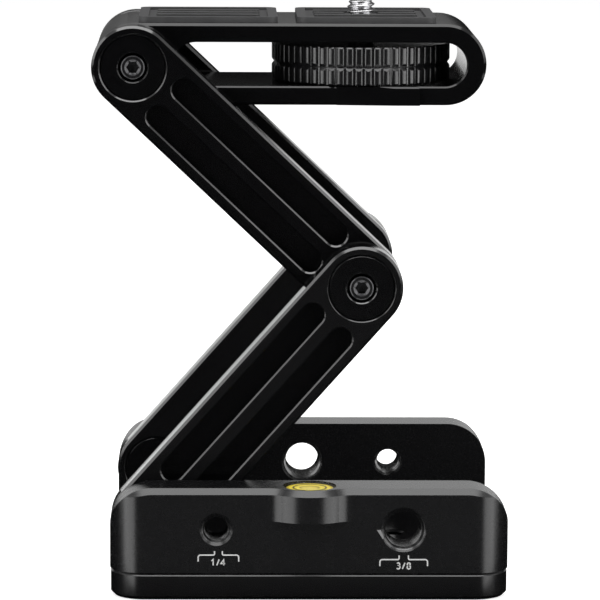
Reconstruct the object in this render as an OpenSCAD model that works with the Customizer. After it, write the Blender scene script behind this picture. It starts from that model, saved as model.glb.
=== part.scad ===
// Folding tilt head in the shape of a Z: a base with two walls, a pair of lower arm plates, a pair of
// upper arm plates and a slotted platform with a camera screw. Each pair turns on stub pivots inside the
// next one, so the whole head folds flat between the walls of the base.
// Millimetres, +Z up, origin in the middle of the base's underside, +X to the side of the middle pivot,
// +Y to the rear.

/* [Pose] */
// Rise of the lower arms above level
lower_angle = 48.4; // [5:0.1:80]
// Fall of the upper arms from the platform down to the middle pivot
upper_angle = 43.4; // [5:0.1:80]

/* [Arms] */
// Distance between the two pivots of an arm
pivot_span = 71.2; // [66:0.1:90]
// Width of an arm and diameter of its round ends
arm_w = 18.8; // [18.4:0.1:24]
// Thickness of an upper arm plate
upper_t = 7.2; // [6.8:0.1:10]
// Thickness of a lower arm plate
lower_t = 7.8; // [6.8:0.1:10]
// Chamfer along the edges of the arm plates
arm_chamfer = 0.55; // [0.2:0.05:1]
// Width of the pockets in an arm's outer face
pocket_w = 5.2; // [3:0.1:6]
// Distance of a pocket's middle line from the arm's middle line
pocket_offset = 4.2; // [3.4:0.1:5]
// Depth of the pockets
pocket_depth = 3.2; // [1:0.1:4.5]
// Distance from a pivot to the centre of a pocket's round end
pocket_end = 11.8; // [11.6:0.1:18]
// Chamfer along the edges of the pockets
pocket_chamfer = 0.35; // [0.1:0.05:0.6]

/* [Pivots] */
// Gap between neighbouring plates, filled by a friction washer
pivot_gap = 0.5; // [0.4:0.05:1]
// Play on each side of a friction washer
washer_play = 0.02; // [0.01:0.01:0.05]
// Outer diameter of a friction washer
washer_d = 15.6; // [12:0.2:17]
// Diameter of a pivot cap's flange
cap_d = 14.9; // [12:0.1:15.2]
// Thickness of a pivot cap's flange
cap_t = 2.8; // [2:0.1:3.4]
// Clearance round a cap's flange in its seat
cap_clear = 0.05; // [0.05:0.05:0.4]
// Depth of the top caps below the face of the upper arm
top_cap_sink = 0.5; // [0:0.1:0.8]
// Depth of the middle and base caps below the face of the lower arm
low_cap_sink = 0.1; // [0:0.1:0.8]
// Chamfer of a cap's rim and of the mouths of its seat and counterbore
seat_chamfer = 0.3; // [0.1:0.05:0.5]
// Diameter of a pivot cap's hub, on which the arm turns
hub_d = 8; // [7.6:0.1:9.4]
// Running clearance round a hub
hub_clear = 0.04; // [0.02:0.01:0.1]
// Space between the end of a hub and the piece it is screwed to
hub_short = 0.1; // [0.05:0.05:0.3]
// Thread diameter of a pivot screw
pivot_screw_d = 3; // [2.5:0.1:3.4]
// Head diameter of a pivot screw
pivot_head_d = 5.5; // [4.6:0.1:5.8]
// Head height of a pivot screw
pivot_head_h = 3; // [2:0.1:3.4]
// Key width of a pivot screw's socket
pivot_key = 2.5; // [1.5:0.1:3]
// Depth to which a pivot screw enters the next piece
pivot_grip = 5; // [3:0.1:6]
// Clearance round a screw's head in its counterbore
head_clear = 1.1; // [0.2:0.05:1.3]
// Clearance round a screw's shank in a plain hole
shank_clear = 0.1; // [0.05:0.05:0.3]
// Clearance round a screw in its threaded hole
thread_clear = 0.02; // [0.01:0.01:0.05]

/* [Base] */
// Thickness of the base plate
plate_t = 5.85; // [4:0.05:8]
// Space between the base plate and the folded arms
fold_gap = 0.7; // [0.4:0.1:3]
// Thickness of the front and rear walls
wall_t = 11; // [9.5:0.1:13]
// Radius of the base's corners seen from above
plan_r = 8; // [3:0.5:9]
// Radius of the walls' upper corners
wall_corner_r = 9.5; // [4:0.5:12]
// Chamfer along the upper outer edge of the walls
wall_chamfer = 1.3; // [0.5:0.1:1.8]
// Chamfer of each edge at the seam between walls and plate
seam_chamfer = 0.35; // [0.1:0.05:0.8]
// Chamfer of the plate's lower edge
foot_chamfer = 0.9; // [0.3:0.1:1.5]
// Distance of the plate's ends inside the walls' ends
plate_inset = 0.2; // [0.1:0.05:0.5]
// Distance that the plate stands out past the walls' outer faces
plate_proud = 0.1; // [0:0.05:0.3]
// Thread diameter of the base screws
base_screw_d = 4; // [3:0.1:4.4]
// Head diameter of the base screws
base_head_d = 8; // [6:0.1:8.4]
// Length of the base screws
base_screw_len = 13; // [10:0.5:14]
// Key width of a base screw's socket
base_key = 2.5; // [1.5:0.1:3]
// Depth of the base screws' heads below the underside
base_head_sink = 0.15; // [0.05:0.05:0.5]
// Distance of the first base screw from the base pivot
base_screw_first = 7.6; // [6:0.1:8.4]
// Distance of the second base screw from the middle of the base
base_screw_second = 10; // [8:0.1:12]
// Distance of the third base screw from the base's end
base_screw_third = 11; // [6:0.1:14]

/* [Threaded sockets] */
// Thread diameter of the small sockets, 1/4 inch
small_thread_d = 6.4; // [6.35:0.05:6.6]
// Mouth diameter of the small sockets
small_mouth_d = 7.4; // [7:0.1:8.4]
// Thread diameter of the large sockets, 3/8 inch
large_thread_d = 9.6; // [9.55:0.05:9.8]
// Mouth diameter of the large sockets
large_mouth_d = 10.2; // [10:0.1:11.4]
// Chamfer of the wall sockets' inner mouths
inner_chamfer = 0.3; // [0.1:0.05:0.6]
// Distance that the thread's start reaches outside the large front socket's mouth
notch_out = 0.95; // [0.3:0.05:1.2]
// Height of the thread's start beside the large front socket
notch_h = 2.2; // [1:0.1:3]
// Depth of the thread's start
notch_depth = 1; // [0.4:0.1:2]
// Distance from the middle of the base to a socket beside it
socket_x = 21; // [20.5:0.5:22]
// Depth of the walls' sockets below the top of the wall
socket_drop = 9.2; // [8.6:0.1:10]

/* [Bubble level] */
// Diameter of the level's pocket in the front wall
level_d = 12; // [10:0.2:13]
// Metal left between the pocket and the wall's inner face
level_web = 0.5; // [0.4:0.1:1]
// Radius of the boss's round front
level_boss_r = 10.3; // [8:0.1:12]
// Distance that the boss stands out from the wall
level_out = 3.3; // [2.6:0.1:4.5]
// Height of the boss that carries the level
level_boss_h = 7.3; // [6.7:0.1:8.5]
// Radius of the fillets between boss and wall
level_fillet = 6.6; // [3:0.1:9]
// Depth of the level's pocket
level_depth = 6.6; // [5:0.1:7]
// Depth of the lens below the top of the wall
level_sink = 0.5; // [0.2:0.1:1]
// Thickness of the lens
level_lens_t = 0.8; // [0.5:0.1:1.2]
// Wall and floor thickness of the level's cup
level_cup_t = 0.5; // [0.3:0.05:0.9]
// Clearance round the cup, and round the liquid in it
level_clear = 0.05; // [0.02:0.01:0.1]
// Radius of the bubble's round upper side
bubble_r = 3; // [2:0.1:4]
// Depth of the bubble in the liquid
bubble_h = 0.9; // [0.3:0.1:1.5]

/* [Platform] */
// Depth of the platform from front to rear
platform_depth = 38.6; // [34:0.2:50]
// Height of the platform
platform_h = 18.55; // [17:0.05:18.8]
// Rise of the pivot bosses above the platform's sides
boss_rise = 1.2; // [0.8:0.1:2]
// Chamfer along the platform's edges
platform_chamfer = 0.6; // [0.2:0.1:1]
// Height of the slot through the platform
slot_h = 10; // [8:0.1:10.6]
// Distance from the top pivot to the start of the slot
slot_start = 9.2; // [8:0.2:16]
// Wall left at the free end of the slot
slot_wall = 4.5; // [3:0.1:6]
// Chamfer along the slot's edges
slot_chamfer = 0.35; // [0.1:0.05:0.6]
// Length of the raised land on the lower bar, in front of the knob
land_len = 19; // [10:0.5:22]
// Length of the land's sloping part
land_ramp = 13; // [4:0.5:16]
// Distance from the land to the platform's free end
land_end = 15.2; // [12:0.1:20]
// Radius of the land's upper corner
land_corner = 0.8; // [0.3:0.1:1.5]

/* [Pads] */
// Distance from the top pivot to the first pad
pad_start = 1.1; // [0.5:0.1:4]
// Distance from the second pad to the centre of the platform's free end
pad_end = 2.1; // [0.5:0.1:4]
// Gap between the two pads
pad_gap = 4.5; // [2:0.1:10]
// Distance of the pads from the platform's front and rear edges
pad_inset = 2.6; // [1.4:0.1:5]
// Corner radius of the pads
pad_r = 2.4; // [1:0.1:4]
// Depth of the pads' seats in the platform
pad_seat = 0.9; // [0.4:0.1:1.5]
// Height of the pads above the platform
pad_rise = 1.3; // [0.6:0.1:2]
// Clearance round a pad in its seat
pad_clear = 0.05; // [0.02:0.01:0.2]
// Width of the raised rim round a pad
pad_rim = 2.2; // [1:0.1:4]
// Depth of the field inside the rim
pad_field = 0.6; // [0.2:0.1:1]
// Width of the grip ribs in the field
pad_rib_w = 3.4; // [1:0.1:5]
// Spacing of the grip ribs
pad_rib_pitch = 7; // [5.5:0.1:9]
// Gap between the ribs and the rim
pad_rib_gap = 1.8; // [1:0.1:4]

/* [Knob and camera screw] */
// Clearance between the knob and the upper arms when folded
knob_clear = 0.3; // [0.2:0.05:1]
// Clearance under the knob
knob_low_gap = 0.35; // [0.2:0.05:0.8]
// Clearance over the knob
knob_top_gap = 1.1; // [0.3:0.1:2]
// Gap between the knob and the free end of the slot
knob_end_gap = 2.9; // [1:0.1:6]
// Chamfer of the knob's edges
knob_chamfer = 0.25; // [0.15:0.05:1]
// Number of grip ribs round the knob
rib_count = 60; // [36:1:72]
// Width of the gaps between the ribs
rib_gap = 0.5; // [0.4:0.05:0.9]
// Depth of the gaps between the ribs
rib_depth = 0.7; // [0.5:0.05:1]
// Chamfer of the ribs' long edges
rib_chamfer = 0.38; // [0.1:0.02:0.4]
// Width of the groove round the knob
groove_w = 1.5; // [0.5:0.1:2]
// Depth of the groove round the knob
groove_depth = 0.65; // [0.3:0.05:1.4]
// Height of the middle of the groove above the knob's underside
groove_z = 3.95; // [3:0.05:5]
// Thread diameter of the camera screw, 1/4 inch
screw_d = 6.35; // [6.2:0.05:6.4]
// Length of the camera screw above the pads while it is let down
screw_out = 2.8; // [2:0.1:4.5]
// Chamfer at the tip of the camera screw
screw_tip = 0.6; // [0.3:0.1:1]
// Diameter of the screw's shank, in the knob and in the platform's upper bar
screw_shank_d = 6; // [5.6:0.1:6.1]
// Diameter of the screw's lower journal
journal_d = 5; // [4:0.1:5.6]
// Clearance round the screw in the platform's upper bar
screw_clear = 0.1; // [0.05:0.01:0.3]
// Running clearance round the lower journal
journal_clear = 0.05; // [0.02:0.01:0.1]
// Depth of the journal's end inside the lower bar's underside
journal_short = 0.6; // [0.2:0.1:1.5]
// Clearance round the screw in the pad
pad_hole_clear = 0.9; // [0.5:0.1:2]

/* [Hidden] */
$fn = 96;

// Overshoot of cutting bodies
cut = 1;

// Overlap by which a fillet, a ramp or a chamfer's cut runs into or past the face where it ends
blend = 0.02;

// Half depths of the nested pieces, from the middle plane outwards
platform_half = platform_depth / 2;
boss_half = platform_half + boss_rise;
upper_in = boss_half + pivot_gap;
upper_out = upper_in + upper_t;
lower_in = upper_out + pivot_gap;
lower_out = lower_in + lower_t;
wall_in = lower_out + pivot_gap;
wall_out = wall_in + wall_t;

// Outer sizes of the base, which the folded arms fill
arm_r = arm_w / 2;
base_len = pivot_span + arm_w;
base_depth = 2 * wall_out;
base_h = plate_t + fold_gap + arm_w;

// Pivot axes, as X and Z
base_pivot = [-pivot_span / 2, plate_t + fold_gap + arm_r];
middle_pivot = base_pivot + pivot_span * [cos(lower_angle), sin(lower_angle)];
top_pivot = middle_pivot + pivot_span * [-cos(upper_angle), sin(upper_angle)];

// Pivot hardware
hub_r = hub_d / 2;
cap_r = cap_d / 2;
top_seat = top_cap_sink + cap_t;
low_seat = low_cap_sink + cap_t;
counterbore = pivot_head_h + hub_short;
counterbore_r = (pivot_head_d + head_clear) / 2;
base_screw_x = [
    base_pivot[0] + base_screw_first,
    base_screw_second,
    base_len / 2 - base_screw_third
];
base_screw_y = wall_in + wall_t / 2;
base_cone_h = (base_head_d - base_screw_d) / 2;

// Bubble level, from the front wall inwards
level_r = level_d / 2;
level_y = -wall_in - level_web - level_r;
level_inset = level_boss_r - level_out;
level_boss_y = level_inset - wall_out;
level_fillet_x = sqrt(pow(level_boss_r + level_fillet, 2) - pow(level_inset + level_fillet, 2));
level_floor = base_h - level_depth;
cup_h = level_depth - level_sink - level_lens_t;

// Platform, along its own length from the top pivot
platform_r = platform_h / 2;
platform_rise = arm_r - platform_r;
slot_r = slot_h / 2;
slot_end = pivot_span + platform_r - slot_wall;
land_x1 = pivot_span + platform_r - land_end;
land_x0 = land_x1 - land_len;
pad_len = (pivot_span - pad_start - pad_end - pad_gap) / 2;
pad_w = platform_depth - 2 * pad_inset;
pad_t = pad_seat + pad_rise;
platform_top = platform_rise + platform_r;
rib_rows = floor((pad_w / 2 - pad_rim - pad_rib_gap - pad_rib_w / 2) / pad_rib_pitch);

// Knob and camera screw, along the platform's length
knob_r = upper_in - knob_clear;
knob_x = slot_end - knob_end_gap - knob_r;
knob_h = slot_h - knob_low_gap - knob_top_gap;
knob_z = platform_rise - slot_r + knob_low_gap;
screw_r = screw_d / 2;
shank_r = screw_shank_d / 2;
journal_r = journal_d / 2;
journal_z = platform_rise - platform_r + journal_short;
pad_top = platform_top + pad_rise;
screw_top = pad_top + screw_out;

// Disc along +Z with chamfered rims
module disc(r, t, low, high) {
    rotate_extrude()
        polygon([[0, 0], [r - low, 0], [r, low], [r, t - high], [r - high, t], [0, t]]);
}

// Bar along +X whose section in Y and Z is a plate with chamfered edges
module chamfered_bar(length, half, t, low, high) {
    rotate([90, 0, 90])
        linear_extrude(length)
            polygon([
                [-half + low, 0], [half - low, 0], [half, low], [half, t - high],
                [half - high, t], [-half + high, t], [-half, t - high], [-half, low]
            ]);
}

// Plate with round ends, centred on two points along X
module link(length, r, t, low, high) {
    for (x = [0, length])
        translate([x, 0, 0])
            disc(r, t, low, high);
    chamfered_bar(length, r, t, low, high);
}

// Straight slot with round ends
module slot(length, r, t) {
    for (x = [0, length])
        translate([x, 0, 0])
            cylinder(h = t, r = r);
    translate([0, -r, 0])
        cube([length, 2 * r, t]);
}

// Slot whose walls spread by its height, for the chamfer of a slot's mouth
module flared_slot(length, r, t) {
    for (x = [0, length])
        translate([x, 0, 0])
            cylinder(h = t, r1 = r, r2 = r + t);
    rotate([90, 0, 90])
        linear_extrude(length)
            polygon([[-r, 0], [r, 0], [r + t, t], [-r - t, t]]);
}

// Plate with rounded corners and chamfered edges, centred in X and Y
module slab(length, width, t, r, low, high) {
    for (x = [-1, 1], y = [-1, 1])
        translate([x * (length / 2 - r), y * (width / 2 - r), 0])
            disc(r, t, low, high);
    translate([r - length / 2, 0, 0])
        chamfered_bar(length - 2 * r, width / 2, t, low, high);
    rotate([0, 0, 90])
        translate([r - width / 2, 0, 0])
            chamfered_bar(width - 2 * r, length / 2, t, low, high);
}

// Block with rounded corners, centred in X and Y
module block(length, width, t, r) {
    for (x = [-1, 1], y = [-1, 1])
        translate([x * (length / 2 - r), y * (width / 2 - r), 0])
            cylinder(h = t, r = r);
    translate([-length / 2, r - width / 2, 0])
        cube([length, width - 2 * r, t]);
    translate([r - length / 2, -width / 2, 0])
        cube([length - 2 * r, width, t]);
}

// Frame of a pivot: X along the piece, Y across it, Z out of its front face
module on_pivot(pivot, angle) {
    translate([pivot[0], 0, pivot[1]])
        rotate([90, -angle, 0])
            children();
}

// Copy of a front piece on the rear side
module rear() {
    mirror([0, 1, 0])
        children();
}

// Hub bore through a plate, with a cap's seat sunk from z = 0 downwards
module cap_seat(seat, plate) {
    translate([0, 0, -seat])
        cylinder(h = seat + cut, r = cap_r + cap_clear);
    translate([0, 0, -seat_chamfer])
        cylinder(
            h = seat_chamfer + cut,
            r1 = cap_r + cap_clear,
            r2 = cap_r + cap_clear + seat_chamfer + cut
        );
    translate([0, 0, -plate - cut])
        cylinder(h = plate + cut, r = hub_r + hub_clear);
}

// Flanged pivot cap with its face at z = 0 and its hub reaching down by length
module cap(length) {
    difference() {
        union() {
            translate([0, 0, -cap_t])
                disc(cap_r, cap_t, 0, seat_chamfer);
            translate([0, 0, -length])
                cylinder(h = length - cap_t / 2, r = hub_r);
        }
        translate([0, 0, -counterbore])
            cylinder(h = counterbore + cut, r = counterbore_r);
        translate([0, 0, -seat_chamfer])
            cylinder(
                h = seat_chamfer + cut,
                r1 = counterbore_r,
                r2 = counterbore_r + seat_chamfer + cut
            );
        translate([0, 0, -length - cut])
            cylinder(h = length + cut, r = pivot_screw_d / 2 + shank_clear);
    }
}

// Socket head screw that seats in a cap's counterbore
module pivot_screw(length) {
    tip = length + hub_short + pivot_grip;
    difference() {
        union() {
            translate([0, 0, -counterbore])
                disc(pivot_head_d / 2, pivot_head_h, 0, pivot_head_h / 10);
            translate([0, 0, -tip])
                cylinder(h = tip - counterbore + pivot_head_h / 2, r = pivot_screw_d / 2);
        }
        translate([0, 0, -counterbore + pivot_head_h / 2])
            cylinder(h = pivot_head_h, d = pivot_key / cos(30), $fn = 6);
    }
}

// Threaded hole for a pivot screw, going down from z = 0
module pivot_thread() {
    translate([0, 0, -pivot_grip - cut / 2])
        cylinder(h = pivot_grip + cut, r = pivot_screw_d / 2 + thread_clear);
}

// Friction washer that fills the gap above z = 0
module washer() {
    translate([0, 0, washer_play])
        difference() {
            cylinder(h = pivot_gap - 2 * washer_play, d = washer_d);
            translate([0, 0, -cut])
                cylinder(h = pivot_gap + 2 * cut, r = hub_r + cap_clear);
        }
}

// Lengths of the pivot caps from face to hub end
top_cap_len = upper_t - top_cap_sink + pivot_gap - hub_short;
low_cap_len = lower_t - low_cap_sink + pivot_gap - hub_short;

// Through socket along +Z with a chamfered mouth at its far end
module socket(d, mouth, t) {
    flare = (mouth - d) / 2;
    translate([0, 0, -cut])
        cylinder(h = t + 2 * cut, d = d);
    translate([0, 0, t - flare])
        cylinder(h = flare + cut, d1 = d, d2 = mouth + 2 * cut);
}

// Wall of the base seen from its outer side: round upper corners and a chamfered upper edge
module wall_blank() {
    corner_x = base_len / 2 - wall_corner_r;
    corner_z = base_h - wall_corner_r;
    intersection() {
        translate([0, 0, plate_t])
            slab(base_len, base_depth, base_h - plate_t, plan_r, seam_chamfer, 0);
        translate([0, -wall_in, 0])
            rotate([90, 0, 0])
                union() {
                    for (x = [-corner_x, corner_x])
                        translate([x, corner_z, 0])
                            disc(wall_corner_r, wall_t, 0, wall_chamfer);
                    translate([-corner_x, 0, 0])
                        rotate([90, 0, 90])
                            linear_extrude(2 * corner_x)
                                polygon([
                                    [0, 0], [base_h, 0], [base_h, wall_t - wall_chamfer],
                                    [base_h - wall_chamfer, wall_t], [0, wall_t]
                                ]);
                    translate([-base_len / 2, 0, 0])
                        cube([base_len, corner_z, wall_t]);
                }
    }
}

// Pilot holes for the base screws in a wall
module wall_pilots() {
    for (x = base_screw_x)
        translate([x, -base_screw_y, 0])
            cylinder(h = base_screw_len + cut, r = base_screw_d / 2 + thread_clear);
}

// Threaded hole for a base pivot screw in a wall's inner face
module wall_pivot_thread() {
    translate([base_pivot[0], -wall_in, base_pivot[1]])
        rotate([-90, 0, 0])
            pivot_thread();
}

// Socket through a wall, opening outwards
module wall_socket(x, d, mouth) {
    translate([x, -wall_in, base_h - socket_drop])
        rotate([90, 0, 0]) {
            socket(d, mouth, wall_t);
            translate([0, 0, -cut])
                cylinder(
                    h = inner_chamfer + cut,
                    r1 = d / 2 + inner_chamfer + cut,
                    r2 = d / 2
                );
        }
}

// Start of the thread beside the large front socket: a wedge that runs out of its mouth
module thread_start() {
    mouth_r = large_mouth_d / 2 - blend;
    translate([socket_x, -wall_out, base_h - socket_drop])
        rotate([90, 0, 0])
            translate([0, 0, -notch_depth])
                linear_extrude(notch_depth + cut)
                    polygon([
                        [0, 0],
                        [-mouth_r - notch_out, 0],
                        [-sqrt(pow(mouth_r, 2) - pow(notch_h, 2)), -notch_h]
                    ]);
}

// Boss in front of the level: a round rim blended into the wall by two fillets
module level_boss() {
    translate([0, level_boss_y, base_h - level_boss_h]) {
        difference() {
            disc(level_boss_r, level_boss_h, 0, wall_chamfer);
            translate([-level_boss_r, level_y + level_r + level_web / 2 - level_boss_y, -cut])
                cube([2 * level_boss_r, 2 * level_boss_r, level_boss_h + 2 * cut]);
        }
        for (side = [-1, 1])
            difference() {
                linear_extrude(level_boss_h)
                    polygon([
                        [0, 0],
                        [side * level_fillet_x, -level_inset - level_fillet],
                        [side * level_fillet_x, 0]
                    ]);
                translate([side * level_fillet_x, -level_inset - level_fillet, -cut])
                    cylinder(h = level_boss_h + 2 * cut, r = level_fillet + blend);
                translate([
                    side * level_fillet_x,
                    -level_inset - level_fillet,
                    level_boss_h - wall_chamfer
                ])
                    cylinder(
                        h = wall_chamfer + cut,
                        r1 = level_fillet + blend,
                        r2 = level_fillet + blend + wall_chamfer + cut
                    );
            }
    }
}

module base_plate() {
    color("#17171a")
        difference() {
            slab(
                base_len - 2 * plate_inset,
                base_depth + 2 * plate_proud,
                plate_t,
                plan_r - plate_inset,
                foot_chamfer,
                seam_chamfer
            );
            for (x = base_screw_x, y = [-base_screw_y, base_screw_y])
                translate([x, y, 0]) {
                    translate([0, 0, -cut])
                        cylinder(h = plate_t + 2 * cut, r = base_screw_d / 2 + shank_clear);
                    translate([0, 0, -cut])
                        cylinder(h = base_head_sink + cut, r = base_head_d / 2 + shank_clear);
                    translate([0, 0, base_head_sink])
                        cylinder(
                            h = base_cone_h,
                            r1 = base_head_d / 2 + shank_clear,
                            r2 = base_screw_d / 2 + shank_clear
                        );
                }
            translate([0, 0, plate_t])
                rotate([180, 0, 0])
                    socket(large_thread_d, large_mouth_d, plate_t);
            translate([socket_x, 0, plate_t])
                rotate([180, 0, 0])
                    socket(small_thread_d, small_mouth_d, plate_t);
        }
}

module front_wall() {
    color("#17171a")
        difference() {
            union() {
                wall_blank();
                level_boss();
            }
            translate([0, level_y, level_floor])
                cylinder(h = level_depth + cut, r = level_r);
            wall_socket(-socket_x, small_thread_d, small_mouth_d);
            wall_socket(socket_x, large_thread_d, large_mouth_d);
            thread_start();
            wall_pilots();
            wall_pivot_thread();
        }
}

module rear_wall() {
    color("#17171a")
        rear()
            difference() {
                wall_blank();
                wall_socket(0, large_thread_d, large_mouth_d);
                wall_socket(socket_x, small_thread_d, small_mouth_d);
                wall_pilots();
                wall_pivot_thread();
            }
}

module base_screws() {
    color("#2b2b2e")
        for (x = base_screw_x, y = [-base_screw_y, base_screw_y])
            translate([x, y, base_head_sink])
                difference() {
                    union() {
                        cylinder(h = base_cone_h, r1 = base_head_d / 2, r2 = base_screw_d / 2);
                        cylinder(h = base_screw_len - base_head_sink, r = base_screw_d / 2);
                    }
                    translate([0, 0, -cut])
                        cylinder(h = cut + base_cone_h, d = base_key / cos(30), $fn = 6);
                }
}

module level_cup() {
    color("#e8e2c8")
        translate([0, level_y, level_floor])
            difference() {
                cylinder(h = cup_h, r = level_r - level_clear);
                translate([0, 0, level_cup_t])
                    cylinder(h = cup_h, r = level_r - level_clear - level_cup_t);
            }
}

module level_fluid() {
    color("#d8b92c")
        translate([0, level_y, level_floor + level_cup_t])
            difference() {
                cylinder(h = cup_h - level_cup_t, r = level_r - level_cup_t - 2 * level_clear);
                translate([0, 0, cup_h - level_cup_t - bubble_h + bubble_r])
                    sphere(r = bubble_r);
            }
}

module level_lens() {
    color("#d9dcd6")
        translate([0, level_y, level_floor + cup_h])
            disc(level_r - level_clear, level_lens_t, 0, level_lens_t / 4);
}

// Front lower arm plate: cap seat on the inner face at the base, on the outer face at the middle
module lower_arm_front() {
    color("#17171a")
        on_pivot(base_pivot, lower_angle)
            difference() {
                translate([0, 0, lower_in])
                    link(pivot_span, arm_r, lower_t, arm_chamfer, arm_chamfer);
                translate([0, 0, lower_in])
                    rotate([180, 0, 0])
                        cap_seat(low_seat, lower_t);
                translate([pivot_span, 0, lower_out])
                    cap_seat(low_seat, lower_t);
                arm_pockets(lower_out);
            }
}

module lower_arm_rear() {
    rear()
        lower_arm_front();
}

// Pair of pockets in an arm's outer face
module arm_pockets(face) {
    for (side = [-1, 1])
        translate([pocket_end, side * pocket_offset, face]) {
            translate([0, 0, -pocket_depth])
                slot(pivot_span - 2 * pocket_end, pocket_w / 2, pocket_depth + cut);
            translate([0, 0, -pocket_chamfer])
                flared_slot(pivot_span - 2 * pocket_end, pocket_w / 2, pocket_chamfer + blend);
        }
}

// Front upper arm plate: cap seat on the outer face at the platform, threaded at the middle pivot
module upper_arm_front() {
    color("#17171a")
        on_pivot(top_pivot, -upper_angle)
            difference() {
                translate([0, 0, upper_in])
                    link(pivot_span, arm_r, upper_t, arm_chamfer, arm_chamfer);
                translate([0, 0, upper_out])
                    cap_seat(top_seat, upper_t);
                translate([pivot_span, 0, upper_out])
                    pivot_thread();
                arm_pockets(upper_out);
            }
}

module upper_arm_rear() {
    rear()
        upper_arm_front();
}

module base_cap_front() {
    color("#202023")
        on_pivot(base_pivot, lower_angle)
            translate([0, 0, lower_in + low_cap_sink])
                rotate([180, 0, 0])
                    cap(low_cap_len);
}

module base_cap_rear() {
    rear()
        base_cap_front();
}

module base_pivot_screw_front() {
    color("#3a3a3c")
        on_pivot(base_pivot, lower_angle)
            translate([0, 0, lower_in + low_cap_sink])
                rotate([180, 0, 0])
                    pivot_screw(low_cap_len);
}

module base_pivot_screw_rear() {
    rear()
        base_pivot_screw_front();
}

module base_washer_front() {
    color("#555558")
        on_pivot(base_pivot, 0)
            translate([0, 0, lower_out])
                washer();
}

module base_washer_rear() {
    rear()
        base_washer_front();
}

module middle_cap_front() {
    color("#202023")
        on_pivot(middle_pivot, 0)
            translate([0, 0, lower_out - low_cap_sink])
                cap(low_cap_len);
}

module middle_cap_rear() {
    rear()
        middle_cap_front();
}

module middle_pivot_screw_front() {
    color("#3a3a3c")
        on_pivot(middle_pivot, 0)
            translate([0, 0, lower_out - low_cap_sink])
                pivot_screw(low_cap_len);
}

module middle_pivot_screw_rear() {
    rear()
        middle_pivot_screw_front();
}

module middle_washer_front() {
    color("#555558")
        on_pivot(middle_pivot, 0)
            translate([0, 0, upper_out])
                washer();
}

module middle_washer_rear() {
    rear()
        middle_washer_front();
}

// Seat of a pad in the platform's top, or the pad's own outline, from the first pad's start
module pad_outline(index, grow, t) {
    translate([pad_start + pad_len / 2 + index * (pad_len + pad_gap), 0, 0])
        block(pad_len + 2 * grow, pad_w + 2 * grow, t, pad_r + grow);
}

// Land on the front of the lower bar, sloping up to its full rise
module knob_land() {
    low = platform_rise - platform_r;
    high = platform_rise - slot_r;
    root = platform_half - boss_rise;
    difference() {
        intersection() {
            translate([0, low, 0])
                rotate([-90, 0, 0])
                    linear_extrude(high - low)
                        polygon([
                            [land_x0, blend - platform_half],
                            [land_x0 + land_ramp, -boss_half],
                            [land_x1, -boss_half],
                            [land_x1, -root],
                            [land_x0, -root]
                        ]);
            union() {
                translate([land_x0 - cut, low - cut, 0])
                    cube([land_len + cut - land_corner, high - low + 2 * cut, boss_half + cut]);
                translate([land_x0 - cut, low - cut, 0])
                    cube([land_len + cut + blend, high - low + cut - land_corner, boss_half + cut]);
                translate([land_x1 - land_corner, high - land_corner, 0])
                    cylinder(h = boss_half + cut, r = land_corner);
            }
        }
        translate([land_x0 - cut, high - slot_chamfer, boss_half])
            rotate([90, 0, 90])
                linear_extrude(land_len + 2 * cut)
                    polygon([
                        [0, cut], [0, 0], [slot_chamfer, -slot_chamfer], [slot_chamfer + cut, cut]
                    ]);
    }
}

// Platform: a long loop with a slot for the knob, pivot bosses, pad seats and bores for the screw
module platform() {
    slot_len = slot_end - slot_start - 2 * slot_r;
    color("#17171a")
        on_pivot(top_pivot, 0) {
            difference() {
                union() {
                    translate([0, platform_rise, -platform_half])
                        link(pivot_span, platform_r, platform_depth, platform_chamfer, platform_chamfer);
                    translate([0, platform_rise, -boss_half])
                        disc(platform_r, 2 * boss_half, platform_chamfer, platform_chamfer);
                }
                translate([slot_start + slot_r, platform_rise, 0]) {
                    translate([0, 0, -platform_half - cut])
                        slot(slot_len, slot_r, platform_depth + 2 * cut);
                    for (side = [0, 1])
                        mirror([0, 0, side])
                            translate([0, 0, platform_half - slot_chamfer])
                                flared_slot(slot_len, slot_r, slot_chamfer + blend);
                }
                rotate([-90, 0, 0])
                    platform_bores();
                for (side = [0, 1])
                    mirror([0, 0, side])
                        translate([0, 0, boss_half])
                            pivot_thread();
            }
            knob_land();
        }
}

// Pad seats in the platform's top and the camera screw's bores, with Z up
module platform_bores() {
    translate([0, 0, platform_top - pad_seat])
        for (index = [0, 1])
            pad_outline(index, pad_clear, pad_seat + cut);
    translate([knob_x, 0, platform_rise])
        cylinder(h = platform_r, r = screw_r + screw_clear);
    translate([knob_x, 0, platform_rise - platform_r - cut])
        cylinder(h = platform_r, r = journal_r + journal_clear);
}

// Rubber pad with a raised rim and grip ribs in a sunk field
module pad(index) {
    on_pivot(top_pivot, 0)
        rotate([-90, 0, 0])
            translate([0, 0, platform_top - pad_seat])
                difference() {
                    pad_outline(index, 0, pad_t);
                    difference() {
                        translate([0, 0, pad_t - pad_field])
                            pad_outline(index, -pad_rim, pad_field + cut);
                        for (row = [-rib_rows:rib_rows])
                            translate([
                                pad_start + pad_len / 2 + index * (pad_len + pad_gap),
                                row * pad_rib_pitch,
                                0
                            ])
                                block(
                                    pad_len - 2 * (pad_rim + pad_rib_gap),
                                    pad_rib_w,
                                    pad_t,
                                    pad_rib_w / 3
                                );
                    }
                    translate([knob_x, 0, -cut])
                        cylinder(h = pad_t + 2 * cut, r = screw_r + pad_hole_clear);
                }
}

module left_pad() {
    color("#3c3c3e")
        pad(0);
}

module right_pad() {
    color("#3c3c3e")
        pad(1);
}

module top_cap_front() {
    color("#202023")
        on_pivot(top_pivot, 0)
            translate([0, 0, upper_out - top_cap_sink])
                cap(top_cap_len);
}

module top_cap_rear() {
    rear()
        top_cap_front();
}

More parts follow.
